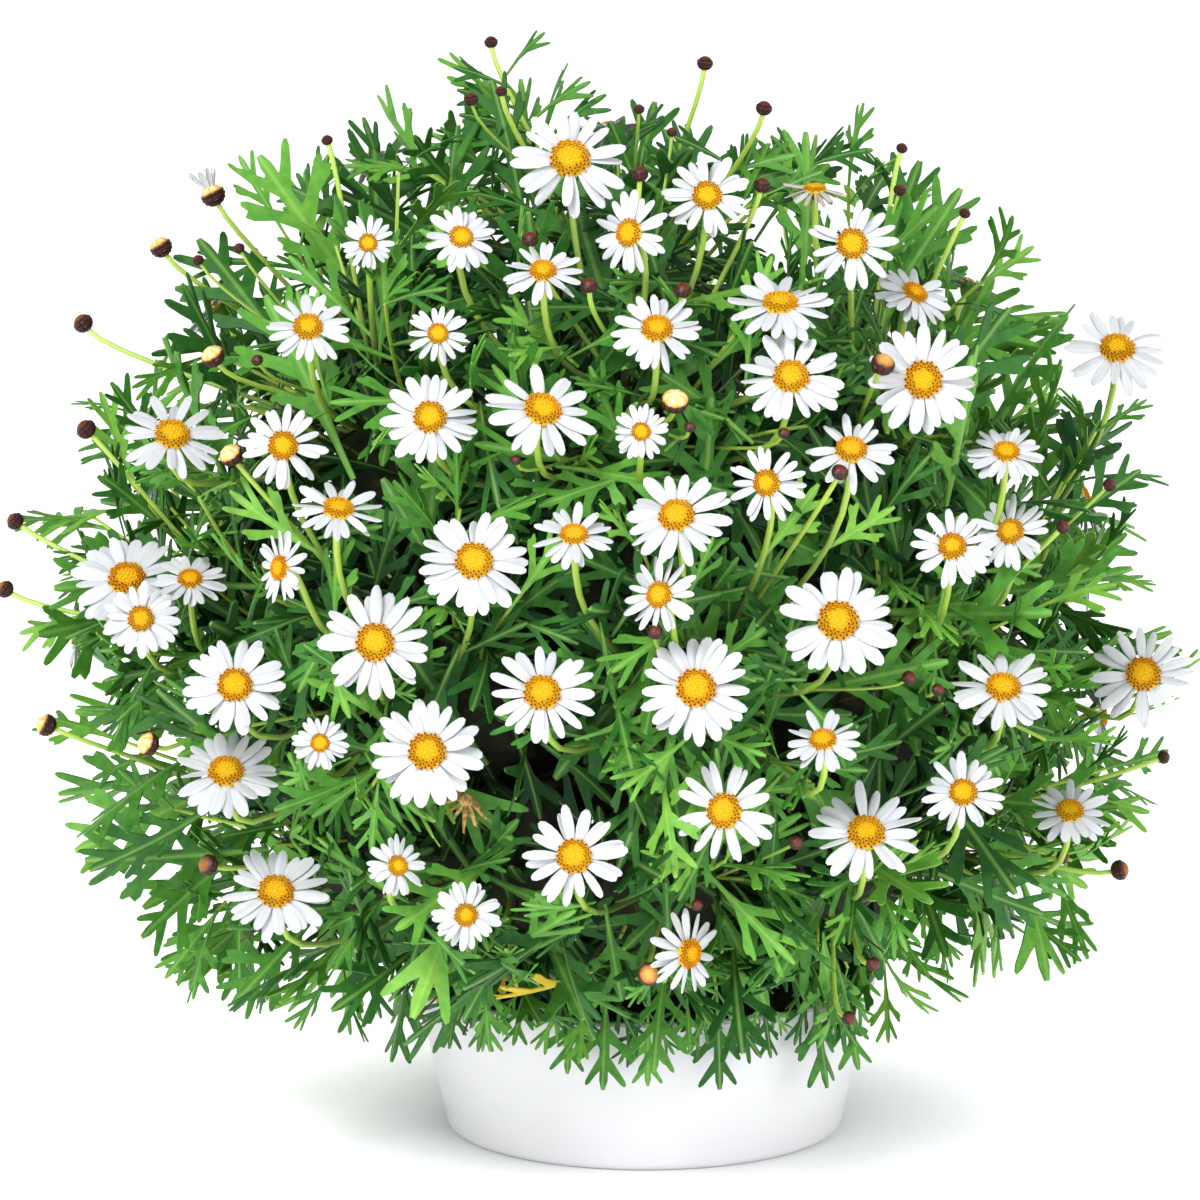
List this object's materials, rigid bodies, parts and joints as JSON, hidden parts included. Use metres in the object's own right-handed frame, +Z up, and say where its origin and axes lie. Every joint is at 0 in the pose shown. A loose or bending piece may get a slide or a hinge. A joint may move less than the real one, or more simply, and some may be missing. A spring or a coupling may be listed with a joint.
{
  "type": "potted marguerite daisy",
  "caption": "Bushy ball-shaped daisy plant with cut green leaves and white, yellow-centred flower heads, standing in a low white bowl-shaped pot.",
  "frame": {"origin": "middle of the pot's flat underside", "axes": "+Z up along the pot, +X to the right as pictured, -Y towards the viewer"},
  "size_m": [0.5438, 0.5328, 0.5133],
  "materials": {
    "pot": "satin white glaze",
    "soil": "loose potting mix, matte",
    "bark": "rough bark",
    "leaf": "fresh green, matte",
    "bloom": "white rays, soft"
  },
  "bodies": {
    "root": {"pot": "pot", "soil": "soil", "woody_base": "bark", "leafy_stem_01": "leaf", "flower_spray_01": "bloom", "leafy_stem_02": "leaf", "flower_spray_02": "bloom", "leafy_stem_03": "leaf", "flower_spray_03": "bloom", "leafy_stem_04": "leaf", "flower_spray_04": "bloom", "leafy_stem_05": "leaf", "flower_spray_05": "bloom", "leafy_stem_06": "leaf", "flower_spray_06": "bloom", "leafy_stem_07": "leaf", "flower_spray_07": "bloom", "leafy_stem_08": "leaf", "flower_spray_08": "bloom", "leafy_stem_09": "leaf", "flower_spray_09": "bloom", "leafy_stem_10": "leaf", "flower_spray_10": "bloom", "leafy_stem_11": "leaf", "flower_spray_11": "bloom", "leafy_stem_12": "leaf", "flower_spray_12": "bloom", "leafy_stem_13": "leaf", "flower_spray_13": "bloom", "leafy_stem_14": "leaf", "flower_spray_14": "bloom", "leafy_stem_15": "leaf", "flower_spray_15": "bloom", "leafy_stem_16": "leaf", "flower_spray_16": "bloom", "leafy_stem_17": "leaf", "flower_spray_17": "bloom", "leafy_stem_18": "leaf", "leafy_stem_19": "leaf", "flower_spray_19": "bloom", "leafy_stem_20": "leaf", "flower_spray_20": "bloom", "leafy_stem_21": "leaf", "flower_spray_21": "bloom", "leafy_stem_22": "leaf", "flower_spray_22": "bloom", "leafy_stem_23": "leaf", "flower_spray_23": "bloom", "leafy_stem_24": "leaf", "flower_spray_24": "bloom", "leafy_stem_25": "leaf", "flower_spray_25": "bloom", "leafy_stem_26": "leaf", "flower_spray_26": "bloom", "leafy_stem_27": "leaf", "flower_spray_27": "bloom"}
  },
  "joints": []
}
